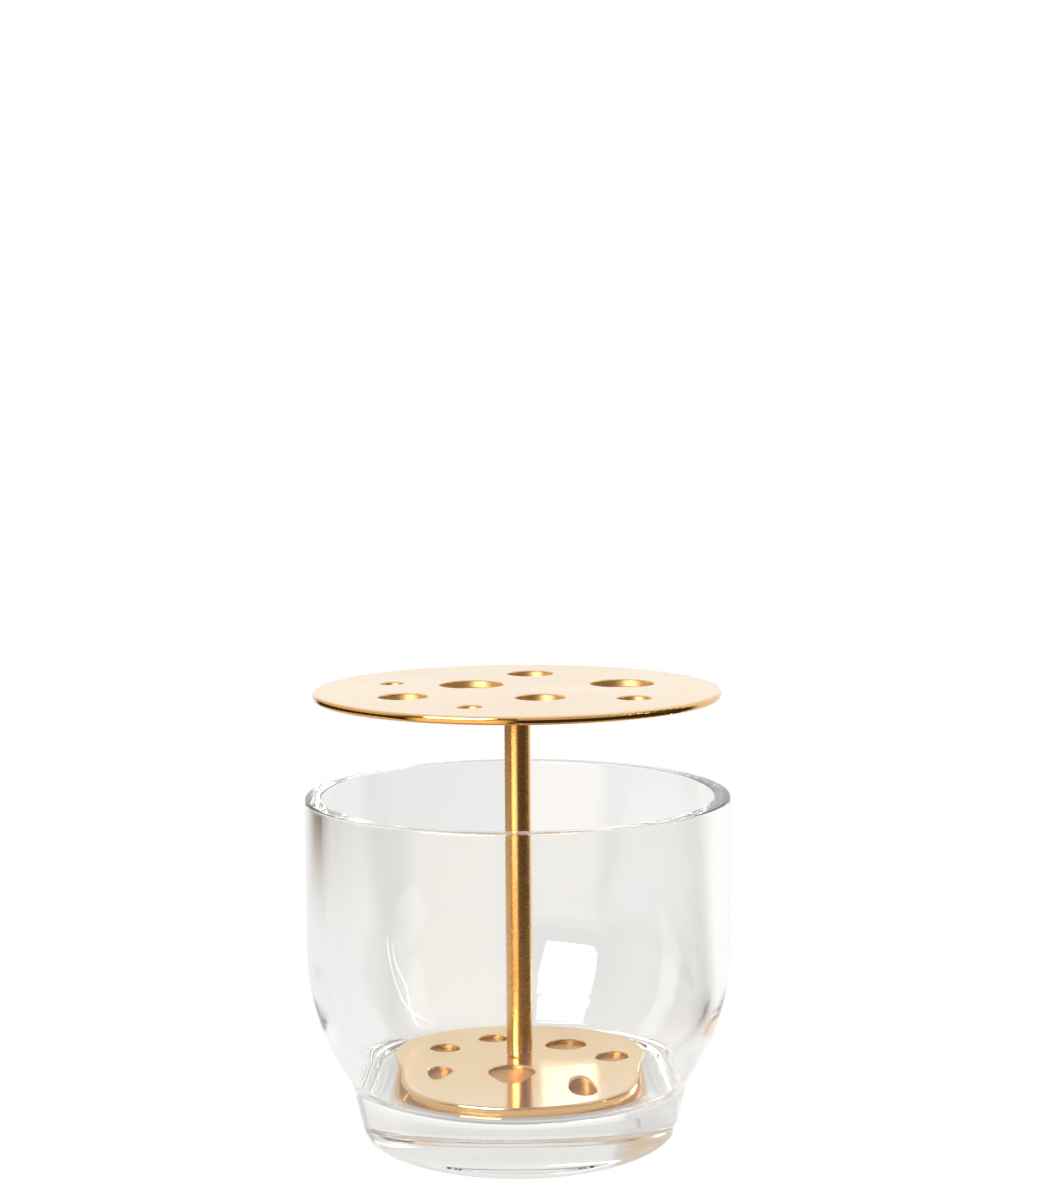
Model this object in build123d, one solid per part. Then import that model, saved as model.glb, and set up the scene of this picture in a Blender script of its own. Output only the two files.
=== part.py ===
from build123d import *
import math
import os

# A flower frog for cut flowers: a clear glass vessel that holds a loose brass insert.
# The insert is a wide pierced disc above the rim, a round stem, and a small disc that stands
# on the glass floor. The small disc has blind pockets that hold the feet of the flower stems.
# Millimetres, +Z up, origin at the middle of the underside of the glass.

# Glass vessel, outside, from the rim down
VESSEL_RADIUS = 65.0
VESSEL_HEIGHT = 104.7
OUTER_WALL_END_Z = 57.5        # where the straight wall starts to turn in
SHOULDER_RADIUS = 68.6
SHOULDER_TURN = 33.6           # degrees
SHOULDER_STRAIGHT = 0.2
WAIST_RADIUS = 13.2            # hollow curve that leads into the foot
FOOT_TAPER = 13.5              # degrees from vertical
FOOT_EDGE_RADIUS = 2.2
PUNT_RADIUS = 34.0             # shallow hollow under the foot
PUNT_DEPTH = 1.0

# Glass vessel, inside
BOWL_RADIUS = 60.1
INNER_WALL_END_Z = 54.4
BOWL_SHOULDER_RADIUS = 47.2
BOWL_SHOULDER_TURN = 25.0      # degrees
FLOOR_EDGE_RADIUS = 6.0
FLOOR_Z = 17.9                 # top of the thick glass base
RIM_EDGE_RADIUS = 0.7

# Brass insert
OVERALL_HEIGHT = 137.0
UPPER_PLATE_RADIUS = 62.2
UPPER_PLATE_THICKNESS = 2.5
UPPER_PLATE_ROUNDING = 1.0     # radius on the two outer edges
LOWER_PLATE_RADIUS = 39.5
LOWER_PLATE_THICKNESS = 3.3
LOWER_PLATE_ROUNDING = 0.6
POCKET_DEPTH = 1.5             # the lower plate's holes are blind
EDGE_BREAK = 0.3               # chamfer on the other machined brass edges
STEM_RADIUS = 4.0
STEM_END_CHAMFER = 0.6
LOWER_PLATE_TOP_Z = FLOOR_Z + LOWER_PLATE_THICKNESS
UPPER_PLATE_UNDERSIDE_Z = OVERALL_HEIGHT - UPPER_PLATE_THICKNESS

# Flower holes as (x, y, diameter)
LARGE, MEDIUM, SMALL, TINY = 20.0, 15.0, 10.5, 7.5
UPPER_HOLES = [
    (-39.0, 13.9, TINY),
    (-34.0, -17.7, MEDIUM),
    (-14.2, 10.2, LARGE),
    (-13.7, -41.2, TINY),
    (4.3, 37.2, MEDIUM),
    (6.8, -21.3, MEDIUM),
    (32.6, 10.3, LARGE),
    (34.5, -24.3, SMALL),
]
LOWER_HOLES = [
    (-23.8, 7.4, 9.5),
    (-8.5, 20.6, 9.5),
    (14.8, 11.7, 13.0),
    (29.0, -4.6, 10.5),
    (-24.2, -17.6, 7.5),
    (-2.4, -18.4, 14.0),
    (18.4, -25.9, 8.0),
]

# Fasteners: a stud welded under the upper plate and a countersunk screw from below
THREAD_RADIUS = 2.0
THREAD_CLEARANCE = 0.06        # radial, between a thread's crest and its bore
TAPPED_DEPTH = 12.0
STUD_LENGTH = 10.0
STUD_FLANGE_RADIUS = 2.8
STUD_FLANGE_THICKNESS = 0.8
FLANGE_CLEARANCE = 0.1
SCREW_LENGTH = 11.0
SCREW_HEAD_RADIUS = 3.9
SCREW_HEAD_LAND = 0.25         # straight rim of the countersunk head
SCREW_RECESS = 0.1             # head sits this far inside the plate
SOCKET_ACROSS_FLATS = 2.5
SOCKET_DEPTH = 1.2


def run_down(start, length, lean):
    """A straight run downwards that leans towards the axis by lean degrees."""
    slope = math.radians(lean)
    return Line(start, start + Vector(-length * math.sin(slope), -length * math.cos(slope)))


def drop_to(start_z, lean, edge_radius, end_z):
    """Length of the straight run that leaves just the edge's arc above end_z."""
    slope = math.radians(lean)
    arc_drop = edge_radius * (1 - math.sin(slope))
    return (start_z - end_z - arc_drop) / math.cos(slope)


def glass_outline():
    """Half section of the glass, drawn as X = radius and Y = height."""
    wall = Line((VESSEL_RADIUS, VESSEL_HEIGHT), (VESSEL_RADIUS, OUTER_WALL_END_Z))
    shoulder = JernArc(wall @ 1, (0, -1), SHOULDER_RADIUS, -SHOULDER_TURN)
    slope = run_down(shoulder @ 1, SHOULDER_STRAIGHT, SHOULDER_TURN)
    waist = JernArc(slope @ 1, slope % 1, WAIST_RADIUS, SHOULDER_TURN - FOOT_TAPER)
    foot_length = drop_to((waist @ 1).Y, FOOT_TAPER, FOOT_EDGE_RADIUS, 0)
    foot = run_down(waist @ 1, foot_length, FOOT_TAPER)
    foot_edge = JernArc(foot @ 1, foot % 1, FOOT_EDGE_RADIUS, FOOT_TAPER - 90)
    punt_sphere = (PUNT_RADIUS**2 + PUNT_DEPTH**2) / (2 * PUNT_DEPTH)
    punt_angle = math.degrees(math.asin(PUNT_RADIUS / punt_sphere))
    punt = JernArc((0, PUNT_DEPTH), (1, 0), punt_sphere, -punt_angle)
    ring = Line(foot_edge @ 1, punt @ 1)
    axis = Line(punt @ 0, (0, FLOOR_Z))

    bore = Line((BOWL_RADIUS, VESSEL_HEIGHT), (BOWL_RADIUS, INNER_WALL_END_Z))
    curve = JernArc(bore @ 1, (0, -1), BOWL_SHOULDER_RADIUS, -BOWL_SHOULDER_TURN)
    side_length = drop_to((curve @ 1).Y, BOWL_SHOULDER_TURN, FLOOR_EDGE_RADIUS, FLOOR_Z)
    side = run_down(curve @ 1, side_length, BOWL_SHOULDER_TURN)
    floor_edge = JernArc(side @ 1, side % 1, FLOOR_EDGE_RADIUS, BOWL_SHOULDER_TURN - 90)
    floor = Line(floor_edge @ 1, axis @ 1)
    rim = Line(wall @ 0, bore @ 0)
    return [wall, shoulder, slope, waist, foot, foot_edge, ring, punt, axis,
            floor, floor_edge, side, curve, bore, rim]


def make_glass_vessel():
    section = make_face(Curve() + glass_outline())
    rim_corners = section.vertices().group_by(Axis.Y)[-1]
    section = fillet(rim_corners, RIM_EDGE_RADIUS)
    return revolve(Plane.XZ * section, Axis.Z)


def rounded_disc(radius, thickness, rounding):
    """A disc standing on Z = 0 with its two edges rounded."""
    disc = Cylinder(radius, thickness, align=(Align.CENTER, Align.CENTER, Align.MIN))
    rims = disc.edges().filter_by(GeomType.CIRCLE)
    return fillet(rims, rounding)


def flower_hole(x, y, diameter, thickness, depth):
    """The tool that cuts one flower hole from the top face down and breaks its edges."""
    radius = diameter / 2
    mouth = Cone(radius, radius + EDGE_BREAK, EDGE_BREAK,
                 align=(Align.CENTER, Align.CENTER, Align.MAX))
    drill = Cylinder(radius, depth, align=(Align.CENTER, Align.CENTER, Align.MAX))
    tool = drill + mouth
    if depth >= thickness:
        tool += Pos(0, 0, -thickness) * Rot(180, 0, 0) * mouth
    return Pos(x, y, thickness) * tool


def pierced_plate(radius, thickness, rounding, holes, depth, base_z):
    plate = rounded_disc(radius, thickness, rounding)
    for x, y, diameter in holes:
        plate -= flower_hole(x, y, diameter, thickness, depth)
    return Pos(0, 0, base_z) * plate


def screw_section(growth):
    """Half section of the countersunk screw, grown outwards by growth to cut its seat."""
    head_z = FLOOR_Z + SCREW_RECESS
    land_z = head_z + SCREW_HEAD_LAND
    shank_z = land_z + SCREW_HEAD_RADIUS - THREAD_RADIUS
    return Polyline(
        (0, head_z),
        (SCREW_HEAD_RADIUS + growth, head_z),
        (SCREW_HEAD_RADIUS + growth, land_z),
        (THREAD_RADIUS + growth, shank_z),
        (THREAD_RADIUS + growth, head_z + SCREW_LENGTH),
        (0, head_z + SCREW_LENGTH),
        close=True,
    )


def turned(outline):
    return revolve(Plane.XZ * make_face(outline), Axis.Z)


def make_base_screw():
    socket = extrude(RegularPolygon(SOCKET_ACROSS_FLATS / 2, 6, major_radius=False), SOCKET_DEPTH)
    screw = turned(screw_section(0)) - Pos(0, 0, FLOOR_Z + SCREW_RECESS) * socket
    return chamfer(screw.edges().group_by(Axis.Z)[-1], EDGE_BREAK)


def make_lower_plate():
    plate = pierced_plate(LOWER_PLATE_RADIUS, LOWER_PLATE_THICKNESS, LOWER_PLATE_ROUNDING,
                          LOWER_HOLES, POCKET_DEPTH, FLOOR_Z)
    head_pocket = Pos(0, 0, FLOOR_Z) * Cylinder(
        SCREW_HEAD_RADIUS + THREAD_CLEARANCE, SCREW_RECESS,
        align=(Align.CENTER, Align.CENTER, Align.MIN))
    return plate - turned(screw_section(THREAD_CLEARANCE)) - head_pocket


def make_upper_plate():
    return pierced_plate(UPPER_PLATE_RADIUS, UPPER_PLATE_THICKNESS, UPPER_PLATE_ROUNDING,
                         UPPER_HOLES, UPPER_PLATE_THICKNESS, UPPER_PLATE_UNDERSIDE_Z)


def make_stem_rod():
    length = UPPER_PLATE_UNDERSIDE_Z - LOWER_PLATE_TOP_Z
    rod = Cylinder(STEM_RADIUS, length, align=(Align.CENTER, Align.CENTER, Align.MIN))
    rod = chamfer(rod.edges(), STEM_END_CHAMFER)
    bore = Cylinder(THREAD_RADIUS + THREAD_CLEARANCE, TAPPED_DEPTH,
                    align=(Align.CENTER, Align.CENTER, Align.MIN))
    flange_depth = STUD_FLANGE_THICKNESS + FLANGE_CLEARANCE
    flange_seat = Cylinder(STUD_FLANGE_RADIUS + FLANGE_CLEARANCE, flange_depth,
                           align=(Align.CENTER, Align.CENTER, Align.MIN))
    rod = rod - bore - Pos(0, 0, length - TAPPED_DEPTH) * bore
    rod = rod - Pos(0, 0, length - flange_depth) * flange_seat
    return Pos(0, 0, LOWER_PLATE_TOP_Z) * rod


def make_top_stud():
    shank = Cylinder(THREAD_RADIUS, STUD_LENGTH, align=(Align.CENTER, Align.CENTER, Align.MAX))
    flange = Cylinder(STUD_FLANGE_RADIUS, STUD_FLANGE_THICKNESS,
                      align=(Align.CENTER, Align.CENTER, Align.MAX))
    stud = shank + flange
    stud = chamfer(stud.edges().group_by(Axis.Z)[0], EDGE_BREAK)
    return Pos(0, 0, UPPER_PLATE_UNDERSIDE_Z) * stud


NODES = {
    "glass_vessel": make_glass_vessel,
    "lower_plate": make_lower_plate,
    "base_screw": make_base_screw,
    "stem_rod": make_stem_rod,
    "top_stud": make_top_stud,
    "upper_plate": make_upper_plate,
}

os.makedirs("parts", exist_ok=True)
for node, make in NODES.items():
    export_step(make(), f"parts/{node}.step")
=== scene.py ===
import math

import bmesh
import bpy
from mathutils import Matrix, Vector


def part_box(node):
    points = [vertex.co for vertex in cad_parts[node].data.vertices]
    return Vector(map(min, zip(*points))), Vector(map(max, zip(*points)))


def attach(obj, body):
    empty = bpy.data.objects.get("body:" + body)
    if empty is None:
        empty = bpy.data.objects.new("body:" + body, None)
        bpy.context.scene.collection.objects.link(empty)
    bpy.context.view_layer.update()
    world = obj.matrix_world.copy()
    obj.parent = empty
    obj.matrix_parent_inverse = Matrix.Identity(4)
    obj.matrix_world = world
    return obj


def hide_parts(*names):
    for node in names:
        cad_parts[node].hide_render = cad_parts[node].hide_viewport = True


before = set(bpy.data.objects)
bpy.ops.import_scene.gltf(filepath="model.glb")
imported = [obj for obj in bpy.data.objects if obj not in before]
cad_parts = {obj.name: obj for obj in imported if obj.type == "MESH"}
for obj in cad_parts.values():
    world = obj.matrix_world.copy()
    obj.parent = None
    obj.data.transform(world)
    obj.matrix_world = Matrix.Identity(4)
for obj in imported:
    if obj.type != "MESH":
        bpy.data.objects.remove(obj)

# Everything is in metres in the CAD model's own frame: +Z up, the viewer on the -Y side.
MM = 0.001
FULL_TURN = 2 * math.pi
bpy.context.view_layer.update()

# Glass section, the CAD vessel's own dimensions
VESSEL_RADIUS = 65.0 * MM
OUTER_WALL_END_Z = 57.5 * MM
SHOULDER_RADIUS = 68.6 * MM
SHOULDER_TURN = math.radians(33.6)
SHOULDER_STRAIGHT = 0.2 * MM
WAIST_RADIUS = 13.2 * MM
FOOT_TAPER = math.radians(13.5)
FOOT_EDGE_RADIUS = 2.2 * MM
PUNT_RADIUS = 34.0 * MM
PUNT_DEPTH = 1.0 * MM
BOWL_RADIUS = 60.1 * MM
INNER_WALL_END_Z = 54.4 * MM
BOWL_SHOULDER_RADIUS = 47.2 * MM
BOWL_SHOULDER_TURN = math.radians(25.0)
FLOOR_EDGE_RADIUS = 6.0 * MM
RIM_EDGE_RADIUS = 0.7 * MM
PLATE_GAP = 0.04 * MM           # air film under the lower plate

# Resolution of the glass mesh
GLASS_SEGMENTS = 240           # round the axis
WALL_STEP = 1.0 * MM
ARC_STEP = math.radians(1.5)
RIM_ARC_STEP = math.radians(15)
FOOT_ARC_STEP = math.radians(9)
FLOOR_ARC_STEP = math.radians(5)
PUNT_RINGS = 24
FLOOR_RINGS = 20

# Camera, placed as the object was seen
CAMERA_DISTANCE = 0.6429
CAMERA_HEIGHT = 0.2195
CAMERA_TILT_DOWN = math.radians(4.93)
CAMERA_TURN = math.radians(0.14)
CAMERA_ROLL = math.radians(-0.40)
LENS_MM, SENSOR_MM = 63.56, 36.0
CAMERA_CLIP_START = 0.01

# Studio. A direction is (x, y) on the floor, and brightness is 1 at paper white.
# Each side's edge runs between two cosines of the angle from its direction, dark end first.
TO_BACKDROP = (0.284, 0.959)
TO_LEFT_WALL = (-0.906, 0.423)
TO_KEY = (-0.515, -0.857)
WHITE = (1.0, 1.0, 1.0, 1.0)
ROOM_TINT = (1.0, 0.80, 0.56, 1.0)
ROOM_LEVEL = 0.10
BACKDROP_LEVEL = 1.04
BACKDROP_EDGE = (0.60, 0.76)
LEFT_WALL_LEVEL = 0.85
LEFT_WALL_EDGE = (0.55, 0.85)
CEILING_LEVEL = 0.75
CEILING_EDGE = (0.30, 0.72)    # the sine of the height above the horizon
THROUGH_GLASS_LEVEL = 0.62     # the least brightness of what stands behind the glass

# Floor, glowing with painted light: bright round the foot and towards the backdrop, dark towards the
# camera's side
FLOOR_RADIUS = 6.0
FLOOR_DROP = 0.2 * MM          # how far it lies under the foot
FLOOR_DARK = 0.05
FLOOR_BRIGHT_EDGE = (0.55, 0.74)
FLOOR_FADE = (0.06, 0.16)      # distance from the axis over which it darkens in front
FLOOR_LEFT_REACH = 4.5         # how much further the bright floor reaches towards the left wall
FLOOR_SLOPE = (-0.25, 0.30)    # the x range over which the left level turns into the right one
FLOOR_LEFT, FLOOR_RIGHT = 0.86, 1.0
FLOOR_UNDER = 0.55             # in the shade right under the foot
FLOOR_SHADE = (0.030, 0.060)   # distance from the axis over which that shade ends
KEY_POOL_LEVEL = 1.5           # where the key light falls on the floor
KEY_POOL_EDGE = (0.84, 0.96)
KEY_POOL_START = (0.08, 0.20)

# Softboxes: place, size and watts
LIGHTS_AIM = (0, 0, 0.10)
KEY_LIGHT = ((-0.736, -1.071, 0.72), (0.88, 0.85), 40.0)
STRIP_LIGHT = ((1.3, -0.04, 0.55), (0.025, 1.4), 1.0)
LIGHT_BOUNCES = 32             # light goes to and fro many times inside the thick foot


# ---------------------------------------------------------------- shader helpers

class Shader:
    """A short way to write the node tree of a new material, or of the world given as owner."""

    def __init__(self, name, owner=None):
        self.material = owner or bpy.data.materials.new(name)
        self.material.use_nodes = True
        self.tree = self.material.node_tree
        self.tree.nodes.clear()

    def node(self, kind, **settings):
        made = self.tree.nodes.new(kind)
        for key, value in settings.items():
            setattr(made, key, value)
        return made

    def put(self, socket, value):
        if isinstance(value, bpy.types.NodeSocket):
            self.tree.links.new(value, socket)
        else:
            socket.default_value = value

    def math(self, operation, a, b=0.0):
        made = self.node("ShaderNodeMath", operation=operation)
        for socket, value in zip(made.inputs, (a, b)):
            self.put(socket, value)
        return made.outputs[0]

    def plus(self, a, b):
        return self.math("ADD", a, b)

    def minus(self, a, b):
        return self.math("SUBTRACT", a, b)

    def times(self, a, b):
        return self.math("MULTIPLY", a, b)

    def greater(self, a, b):
        return self.math("MAXIMUM", a, b)

    def flat_length(self, x, y):
        return self.math("SQRT", self.plus(self.times(x, x), self.times(y, y)))

    def vector(self, x, y, z):
        made = self.node("ShaderNodeCombineXYZ")
        for socket, value in zip(made.inputs, (x, y, z)):
            self.put(socket, value)
        return made.outputs[0]

    def place(self, space="Object"):
        """x, y and z of the shaded point in its object's space, or of a world's Generated direction."""
        coordinates = self.node("ShaderNodeTexCoord")
        split = self.node("ShaderNodeSeparateXYZ")
        self.put(split.inputs[0], coordinates.outputs[space])
        return split.outputs[0], split.outputs[1], split.outputs[2]

    def noise(self, vector, scale, detail=2.0, roughness=0.5):
        made = self.node("ShaderNodeTexNoise")
        self.put(made.inputs["Vector"], vector)
        self.put(made.inputs["Scale"], scale)
        self.put(made.inputs["Detail"], detail)
        self.put(made.inputs["Roughness"], roughness)
        return made.outputs["Fac"]

    def remap(self, value, low, high, out_low, out_high, kind="LINEAR"):
        made = self.node("ShaderNodeMapRange", interpolation_type=kind)
        for socket, number in zip(made.inputs, (value, low, high, out_low, out_high)):
            self.put(socket, number)
        return made.outputs[0]

    def ramp(self, value, low, high, out_low, out_high):
        """Like remap, with soft ends."""
        return self.remap(value, low, high, out_low, out_high, "SMOOTHSTEP")

    def spread(self, noise, out_low, out_high):
        """Stretches the middle of a noise, where nearly all of it lies, over the given range."""
        return self.remap(noise, NOISE_LOW, NOISE_HIGH, out_low, out_high)

    def seen_directly(self):
        """1 where the camera looks straight at it, 0 where it is seen by way of something else."""
        return self.node("ShaderNodeLightPath").outputs["Is Camera Ray"]

    def seen_through_glass(self):
        """1 where the glass shows what stands behind it, so it looks pale from every side."""
        path = self.node("ShaderNodeLightPath").outputs
        mirrored = self.math("GREATER_THAN", path["Glossy Depth"], 0.5)
        return self.times(path["Is Transmission Ray"], self.minus(1.0, mirrored))

    def mix(self, share, a, b):
        """Colour a where share is 0 and b where it is 1. They are the node's inputs 6 and 7."""
        made = self.node("ShaderNodeMix", data_type="RGBA")
        self.put(made.inputs[0], share)
        self.put(made.inputs[6], a)
        self.put(made.inputs[7], b)
        return made.outputs[2]

    def bump(self, height, strength, distance, below=None):
        made = self.node("ShaderNodeBump")
        self.put(made.inputs["Height"], height)
        self.put(made.inputs["Strength"], strength)
        self.put(made.inputs["Distance"], distance)
        if below is not None:
            self.put(made.inputs["Normal"], below)
        return made.outputs[0]

    def finish(self, **sockets):
        """Ends the tree in a Principled shader with these inputs."""
        shader = self.node("ShaderNodeBsdfPrincipled")
        for name, value in sockets.items():
            self.put(shader.inputs[name.replace("_", " ")], value)
        out = self.node("ShaderNodeOutputMaterial")
        self.put(out.inputs["Surface"], shader.outputs[0])
        return self.material


# ---------------------------------------------------------------- materials

THIN_GLASS = (0.985, 0.985, 0.975, 1.0)
THICK_GLASS = (0.77, 0.76, 0.735, 1.0)    # stands for the depth of glass in the foot
BRASS = (0.89, 0.68, 0.42, 1.0)
BRASS_DEEP = (0.82, 0.57, 0.31, 1.0)
# painted shade: a darker, deeper brass for the plates' sides than for their faces
BRASS_SIDE_SHADE = (0.78, 0.45, 0.15, 1.0)
# painted shade: two darker brasses for the walls of the holes, between which the tool-mark noise varies
BRASS_BORE_SHADE_PALE = (0.82, 0.55, 0.26, 1.0)
BRASS_BORE_SHADE_DARK = (0.60, 0.35, 0.12, 1.0)
ROD_BRASS = (0.88, 0.52, 0.19, 1.0)
ROD_BRASS_DEEP = (0.74, 0.36, 0.06, 1.0)
STEEL = (0.62, 0.61, 0.58, 1.0)

NOISE_LOW, NOISE_HIGH = 0.3, 0.7
ACROSS_GRAIN = 0.25            # a quarter turn, so that the gloss spreads across the grain
PLATE_GRAIN_FINENESS = 2600.0  # along the radius, per metre
ROD_GRAIN_FINENESS = 2400.0    # along the rod, per metre
TOOLING_SCALE = 1500.0
STEEL_SCRATCH_SCALE = 2600.0
FACE_DEPTH = (0.5 * MM, 0.3 * MM)         # below a plate's top, where its face ends
EDGE_WIDTH = (1.4 * MM, 1.2 * MM)         # in from its outer edge, where its side ends
BORE_ROUGHNESS, EDGE_POLISH = 0.32, 0.09  # holes rougher and side smoother than the face

SEAM_EDGE = (0.72, 0.93)       # the cosine of the angle from a seam, where its ripples begin
AWAY_FROM_SEAM = 0.06          # strength of the ripples elsewhere
RIPPLES_START = (5 * MM, 12 * MM)
RIPPLES_END = (42 * MM, 56 * MM)
FOOT_TINT_END = (9 * MM, 19 * MM)


def around_axis(s, x, y):
    """A place that changes along a turn about the stem's axis but not across it."""
    angle = s.math("ARCTAN2", y, x)
    return s.math("COSINE", angle), s.math("SINE", angle)


def circular_tangent(s):
    return s.node("ShaderNodeTangent", direction_type="RADIAL", axis="Z").outputs[0]


def turned_brass(name, top_z, plate_radius):
    """Brass disc with the circular grain of a turned face, a polished side and rougher holes, with
    painted shade: darker brass on its side and in its holes.
    """
    s = Shader(name)
    x, y, z = s.place()
    radius = s.flat_length(x, y)
    along_x, along_y = around_axis(s, x, y)
    across = s.times(radius, PLATE_GRAIN_FINENESS)
    grain = s.noise(s.vector(along_x, along_y, across), 2.2, detail=4.0, roughness=0.65)
    blotch = s.noise(s.vector(x, y, z), 55.0, detail=3.0)
    tooling = s.noise(s.vector(x, y, s.times(z, 3.0)), TOOLING_SCALE, detail=3.0)

    below_face = s.remap(z, top_z - FACE_DEPTH[0], top_z - FACE_DEPTH[1], 1.0, 0.0)
    inner = s.remap(radius, plate_radius - EDGE_WIDTH[0], plate_radius - EDGE_WIDTH[1], 1.0, 0.0)
    bored = s.times(below_face, inner)
    side = s.minus(below_face, bored)

    skin = s.mix(s.spread(blotch, 0.0, 0.30), BRASS, BRASS_DEEP)
    face = s.mix(s.remap(grain, 0.25, 0.75, 0.0, 0.22), skin, BRASS_DEEP)
    # painted shade in the holes, darker than the face, varied by real tool-mark noise
    tooling_and_bore_shade = s.mix(s.spread(tooling, 0.1, 0.9), BRASS_BORE_SHADE_PALE, BRASS_BORE_SHADE_DARK)
    polish = s.plus(s.spread(grain, 0.13, 0.21), s.spread(blotch, -0.02, 0.02))
    change = s.minus(s.times(bored, BORE_ROUGHNESS), s.times(side, EDGE_POLISH))
    return s.finish(
        # painted shade: below the face the side takes the darker side brass, and the holes the darker
        # bore brass
        Base_Color=s.mix(bored, s.mix(below_face, face, BRASS_SIDE_SHADE), tooling_and_bore_shade),
        Metallic=1.0,
        Roughness=s.plus(polish, change),
        Anisotropic=0.4,
        Anisotropic_Rotation=ACROSS_GRAIN,
        Tangent=circular_tangent(s),
        Normal=s.bump(grain, 0.10, 0.015 * MM),
    )


def satin_rod_brass(name):
    """Brass rod with a satin grain that runs round it, under a thin clear coat."""
    s = Shader(name)
    x, y, z = s.place()
    along_x, along_y = around_axis(s, x, y)
    across = s.times(z, ROD_GRAIN_FINENESS)
    grain = s.noise(s.vector(along_x, along_y, across), 2.0, detail=4.0, roughness=0.6)
    cloud = s.noise(s.vector(x, y, s.times(z, 0.6)), 120.0, detail=3.0)
    tone = s.plus(s.spread(cloud, 0.0, 0.35), s.spread(grain, -0.1, 0.25))
    return s.finish(
        Base_Color=s.mix(tone, ROD_BRASS, ROD_BRASS_DEEP),
        Metallic=1.0,
        Roughness=s.spread(grain, 0.24, 0.34),
        Anisotropic=0.7,
        Anisotropic_Rotation=ACROSS_GRAIN,
        Tangent=circular_tangent(s),
        Coat_Weight=0.5,
        Coat_Roughness=0.42,
        Normal=s.bump(grain, 0.03, 0.01 * MM),
    )


def clear_glass(name):
    """Clear blown glass with a slight sway, and with ripples by the two mould seams of the bowl."""
    s = Shader(name)
    x, y, z = s.place()
    along_x = around_axis(s, x, y)[0]
    sway = s.noise(s.vector(x, y, s.times(z, 1.4)), 28.0, detail=2.0)
    ripple = s.noise(s.vector(x, y, s.times(z, 6.0)), 38.0, detail=1.0, roughness=0.5)
    seam = s.ramp(s.math("ABSOLUTE", along_x), *SEAM_EDGE, AWAY_FROM_SEAM, 1.0)
    height = s.times(s.ramp(z, *RIPPLES_START, 0.0, 1.0), s.ramp(z, *RIPPLES_END, 1.0, 0.0))
    swayed = s.bump(sway, 0.15, 0.10 * MM)
    return s.finish(
        Base_Color=s.mix(s.ramp(z, *FOOT_TINT_END, 0.0, 1.0), THICK_GLASS, THIN_GLASS),
        Transmission_Weight=1.0,
        Roughness=0.0,
        IOR=1.52,
        Normal=s.bump(s.times(ripple, s.times(height, seam)), 0.45, 0.18 * MM, swayed),
    )


def machined_steel(name):
    s = Shader(name)
    scratches = s.noise(s.vector(*s.place()), STEEL_SCRATCH_SCALE, detail=3.0)
    return s.finish(
        Base_Color=STEEL,
        Metallic=1.0,
        Roughness=s.spread(scratches, 0.22, 0.36),
        Normal=s.bump(scratches, 0.1, 0.02 * MM),
    )


# ---------------------------------------------------------------- glass

class Outline:
    """A turned section as (radius, height) points, whose heading is its lean towards the axis."""

    def __init__(self, radius, z, heading=0.0):
        self.points = [(radius, z)]
        self.heading = heading

    def run(self, length, step=WALL_STEP):
        pieces = max(1, round(length / step))
        for i in range(pieces):
            r, z = self.points[-1]
            part = length / pieces
            r, z = r - part * math.sin(self.heading), z - part * math.cos(self.heading)
            self.points.append((r, z))

    def turn(self, radius, angle, step=ARC_STEP):
        """An arc that leans the path towards the axis by angle, or away from it when negative."""
        pieces = max(2, round(abs(angle) / step))
        chord = 2 * radius * math.sin(abs(angle) / pieces / 2)
        for i in range(pieces):
            middle = self.heading + angle / pieces * 0.5
            r, z = self.points[-1]
            self.points.append((r - chord * math.sin(middle), z - chord * math.cos(middle)))
            self.heading += angle / pieces


def drop_to(path, edge_radius, end_z):
    """Length of the straight run that leaves just the edge's arc above end_z."""
    arc_drop = edge_radius * (1 - math.sin(path.heading))
    return (path.points[-1][1] - end_z - arc_drop) / math.cos(path.heading)


def glass_section(rim_z, floor_z):
    """The closed half section, from the middle of the underside round to the middle of the floor."""
    outside = Outline(VESSEL_RADIUS - RIM_EDGE_RADIUS, rim_z, math.radians(-90))
    outside.turn(RIM_EDGE_RADIUS, math.radians(90), RIM_ARC_STEP)
    outside.run(rim_z - RIM_EDGE_RADIUS - OUTER_WALL_END_Z)
    outside.turn(SHOULDER_RADIUS, SHOULDER_TURN)
    outside.run(SHOULDER_STRAIGHT)
    outside.turn(WAIST_RADIUS, FOOT_TAPER - SHOULDER_TURN)
    outside.run(drop_to(outside, FOOT_EDGE_RADIUS, 0.0))
    outside.turn(FOOT_EDGE_RADIUS, math.radians(90) - FOOT_TAPER, FOOT_ARC_STEP)

    sphere = (PUNT_RADIUS**2 + PUNT_DEPTH**2) / (2 * PUNT_DEPTH)
    punt = []
    for i in range(PUNT_RINGS):
        r = PUNT_RADIUS * (1 - i / PUNT_RINGS)
        punt.append((r, PUNT_DEPTH - r * r / (2 * sphere)))

    inside = Outline(BOWL_RADIUS + RIM_EDGE_RADIUS, rim_z, math.radians(90))
    inside.turn(RIM_EDGE_RADIUS, math.radians(-90), RIM_ARC_STEP)
    inside.run(rim_z - RIM_EDGE_RADIUS - INNER_WALL_END_Z)
    inside.turn(BOWL_SHOULDER_RADIUS, BOWL_SHOULDER_TURN)
    inside.run(drop_to(inside, FLOOR_EDGE_RADIUS, floor_z))
    inside.turn(FLOOR_EDGE_RADIUS, math.radians(90) - BOWL_SHOULDER_TURN, FLOOR_ARC_STEP)
    floor_radius = inside.points[-1][0]
    floor = [(floor_radius * (1 - i / FLOOR_RINGS), floor_z) for i in range(1, FLOOR_RINGS)]

    return punt[::-1] + outside.points[::-1] + inside.points + floor


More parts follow.
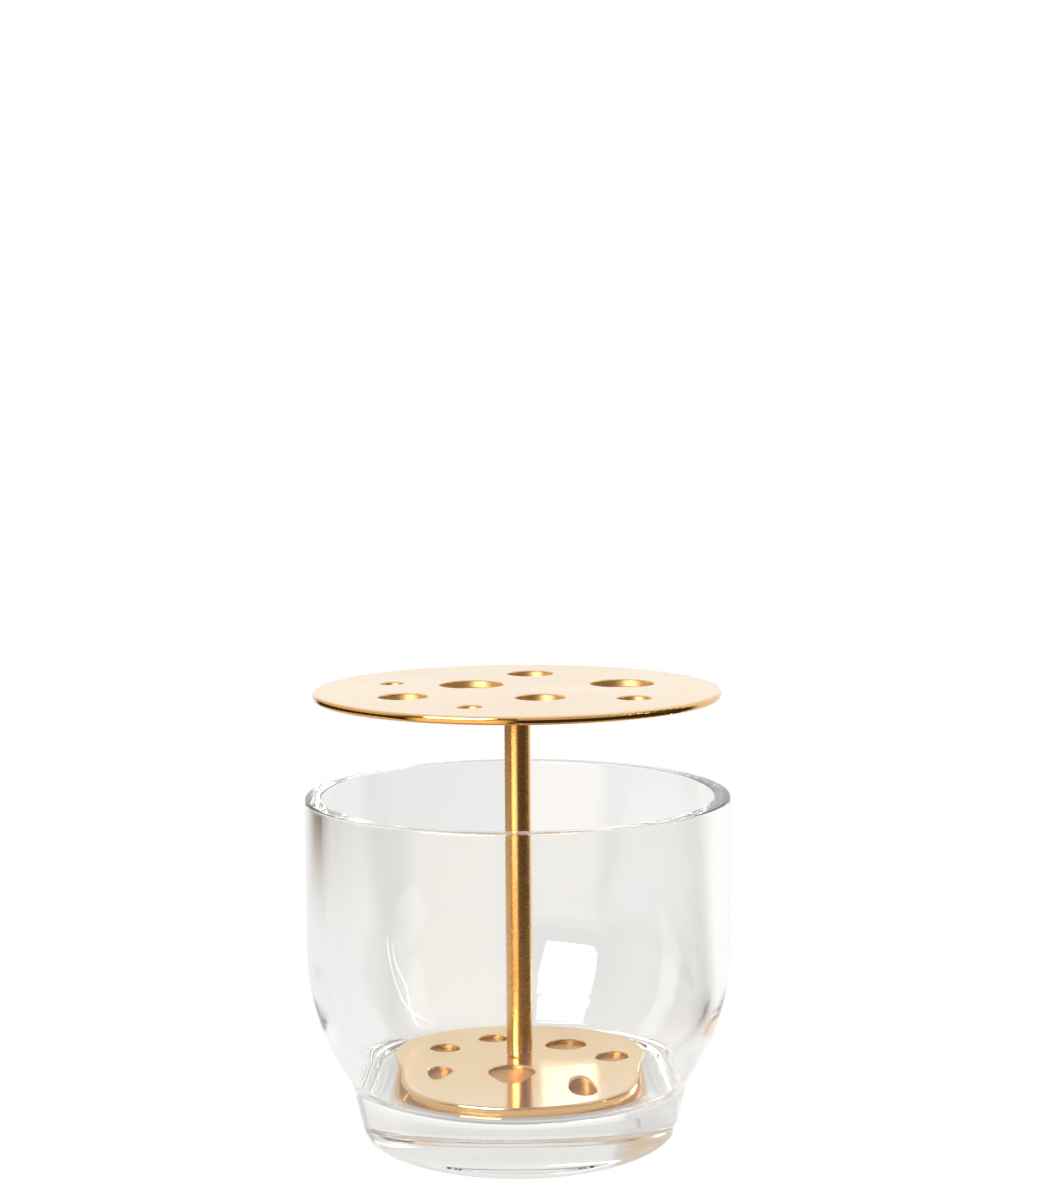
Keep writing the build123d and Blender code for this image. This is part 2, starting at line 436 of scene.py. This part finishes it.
def spun_mesh(name, rings, bottom_z, top_z, segments=GLASS_SEGMENTS):
    """Turns the section into a closed mesh with a point on the axis at each end."""
    bm = bmesh.new()
    loops = []
    for r, z in rings:
        loop = []
        for i in range(segments):
            a = FULL_TURN * i / segments
            loop.append(bm.verts.new((r * math.cos(a), r * math.sin(a), z)))
        loops.append(loop)
    for lower, upper in zip(loops, loops[1:]):
        for i in range(segments):
            j = (i + 1) % segments
            bm.faces.new((lower[i], lower[j], upper[j], upper[i]))
    bottom = bm.verts.new((0, 0, bottom_z))
    top = bm.verts.new((0, 0, top_z))
    for i in range(segments):
        j = (i + 1) % segments
        bm.faces.new((bottom, loops[0][j], loops[0][i]))
        bm.faces.new((top, loops[-1][i], loops[-1][j]))
    bmesh.ops.recalc_face_normals(bm, faces=bm.faces)
    mesh = bpy.data.meshes.new(name)
    bm.to_mesh(mesh)
    bm.free()
    mesh.shade_smooth()
    made = bpy.data.objects.new(name, mesh)
    bpy.context.scene.collection.objects.link(made)
    return made


def make_vessel():
    rim_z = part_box("glass_vessel")[1].z
    floor_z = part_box("lower_plate")[0].z - PLATE_GAP
    vessel = spun_mesh("blown_glass_vessel", glass_section(rim_z, floor_z), PUNT_DEPTH, floor_z)
    vessel.data.materials.append(clear_glass("clear_glass_blown"))
    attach(vessel, "vessel")
    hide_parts("glass_vessel")


# ---------------------------------------------------------------- brass

def dress(node, material):
    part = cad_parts[node]
    part.data.materials.clear()
    part.data.materials.append(material)


# ---------------------------------------------------------------- stage

def toward(s, x, y, flat_length, direction):
    """1 straight towards that side of the studio, 0 at right angles to it and -1 away from it."""
    along = s.plus(s.times(x, direction[0]), s.times(y, direction[1]))
    return s.math("DIVIDE", along, flat_length)


def make_floor():
    """White sweep that glows instead of being lit, its glow painted light: bright round and behind the
    object, falling away into the studio's dark side, with painted shade under the foot and a painted
    pool of key light.
    """
    s = Shader("pale_floor")
    x, y = s.place()[:2]
    radius = s.flat_length(x, y)
    away = s.ramp(toward(s, x, y, radius, TO_BACKDROP), *FLOOR_BRIGHT_EDGE, 1.0, 0.0)
    reach = s.ramp(toward(s, x, y, radius, TO_LEFT_WALL), *LEFT_WALL_EDGE, 1.0, FLOOR_LEFT_REACH)
    far = s.ramp(s.math("DIVIDE", radius, reach), *FLOOR_FADE, 0.0, 1.0)
    dim = s.times(away, far)
    side = s.ramp(x, *FLOOR_SLOPE, FLOOR_LEFT, FLOOR_RIGHT)
    shade = s.times(side, s.ramp(radius, *FLOOR_SHADE, FLOOR_UNDER, 1.0))
    lit = s.times(shade, s.minus(1.0, s.times(dim, 1.0 - FLOOR_DARK)))
    key_pool = s.ramp(toward(s, x, y, radius, TO_KEY), *KEY_POOL_EDGE, 0.0, KEY_POOL_LEVEL)
    pool = s.times(key_pool, s.ramp(radius, *KEY_POOL_START, 0.0, 1.0))
    direct = s.seen_directly()
    through = s.seen_through_glass()
    glow = s.greater(s.greater(lit, pool), s.times(through, THROUGH_GLASS_LEVEL))
    warm = s.times(dim, s.minus(1.0, s.greater(direct, through)))
    # the floor's glow is painted light and shade, not a lamp
    painted_glow = s.node("ShaderNodeEmission")
    s.put(painted_glow.inputs["Strength"], s.greater(direct, glow))
    s.put(painted_glow.inputs["Color"], s.mix(warm, WHITE, ROOM_TINT))
    out = s.node("ShaderNodeOutputMaterial")
    s.put(out.inputs["Surface"], painted_glow.outputs[0])
    bpy.ops.mesh.primitive_circle_add(vertices=128, radius=FLOOR_RADIUS, fill_type="NGON",
                                      location=(0, 0, -FLOOR_DROP))
    floor = bpy.context.object
    floor.name = "pale_floor"
    floor.data.materials.append(s.material)


def make_world():
    """A dim studio with a white backdrop behind, a pale wall on the left and a pale ceiling."""
    world = bpy.data.worlds.new("studio")
    bpy.context.scene.world = world
    s = Shader("studio", world)
    x, y, z = s.place("Generated")
    level = s.math("SQRT", s.minus(1.0001, s.times(z, z)))    # never 0, even straight up
    white = s.ramp(toward(s, x, y, level, TO_BACKDROP), *BACKDROP_EDGE, 0.0, 1.0)
    room = s.ramp(toward(s, x, y, level, TO_LEFT_WALL), *LEFT_WALL_EDGE, ROOM_LEVEL, LEFT_WALL_LEVEL)
    ceiling = s.ramp(z, *CEILING_EDGE, 0.0, CEILING_LEVEL)
    wall = s.greater(room, s.times(white, BACKDROP_LEVEL))
    direct = s.seen_directly()
    through = s.seen_through_glass()
    light = s.greater(s.greater(wall, ceiling), s.times(through, THROUGH_GLASS_LEVEL))
    plain = s.greater(s.greater(direct, through), s.greater(white, ceiling))
    background = s.node("ShaderNodeBackground")
    s.put(background.inputs["Strength"], s.greater(direct, light))
    s.put(background.inputs["Color"], s.mix(plain, ROOM_TINT, WHITE))
    out = s.node("ShaderNodeOutputWorld")
    s.put(out.inputs["Surface"], background.outputs[0])


def softbox(name, place, size, watts):
    """A white area light that the camera doesn't see, turned to the middle of the glass."""
    light = bpy.data.lights.new(name, "AREA")
    light.shape = "RECTANGLE"
    light.size, light.size_y = size
    light.energy = watts
    holder = bpy.data.objects.new(name, light)
    bpy.context.scene.collection.objects.link(holder)
    holder.visible_camera = False
    holder.location = place
    holder.rotation_mode = "QUATERNION"
    holder.rotation_quaternion = (Vector(LIGHTS_AIM) - Vector(place)).to_track_quat("-Z", "Y")


def make_camera():
    camera = bpy.data.objects.new("camera", bpy.data.cameras.new("camera"))
    bpy.context.scene.collection.objects.link(camera)
    camera.data.lens = LENS_MM
    camera.data.sensor_width = SENSOR_MM
    camera.data.clip_start = CAMERA_CLIP_START
    turn = Matrix.Rotation(-CAMERA_TURN, 4, "Z")
    tilt = Matrix.Rotation(math.radians(90) - CAMERA_TILT_DOWN, 4, "X")
    roll = Matrix.Rotation(CAMERA_ROLL, 4, "Z")
    place = Matrix.Translation((0, -CAMERA_DISTANCE, CAMERA_HEIGHT))
    camera.matrix_world = place @ turn @ tilt @ roll
    bpy.context.scene.camera = camera


make_camera()
make_vessel()
rod_brass = satin_rod_brass("brass_rod")
for node in ("upper_plate", "lower_plate"):
    top_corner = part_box(node)[1]
    dress(node, turned_brass("brass_" + node, top_corner.z, top_corner.x))
dress("stem_rod", rod_brass)
dress("top_stud", rod_brass)
dress("base_screw", machined_steel("steel_machined"))
make_floor()
make_world()
softbox("key", *KEY_LIGHT)
softbox("strip", *STRIP_LIGHT)
scene = bpy.context.scene
scene.view_settings.view_transform = "Standard"
scene.cycles.max_bounces = LIGHT_BOUNCES
scene.cycles.glossy_bounces = LIGHT_BOUNCES
scene.cycles.transmission_bounces = LIGHT_BOUNCES
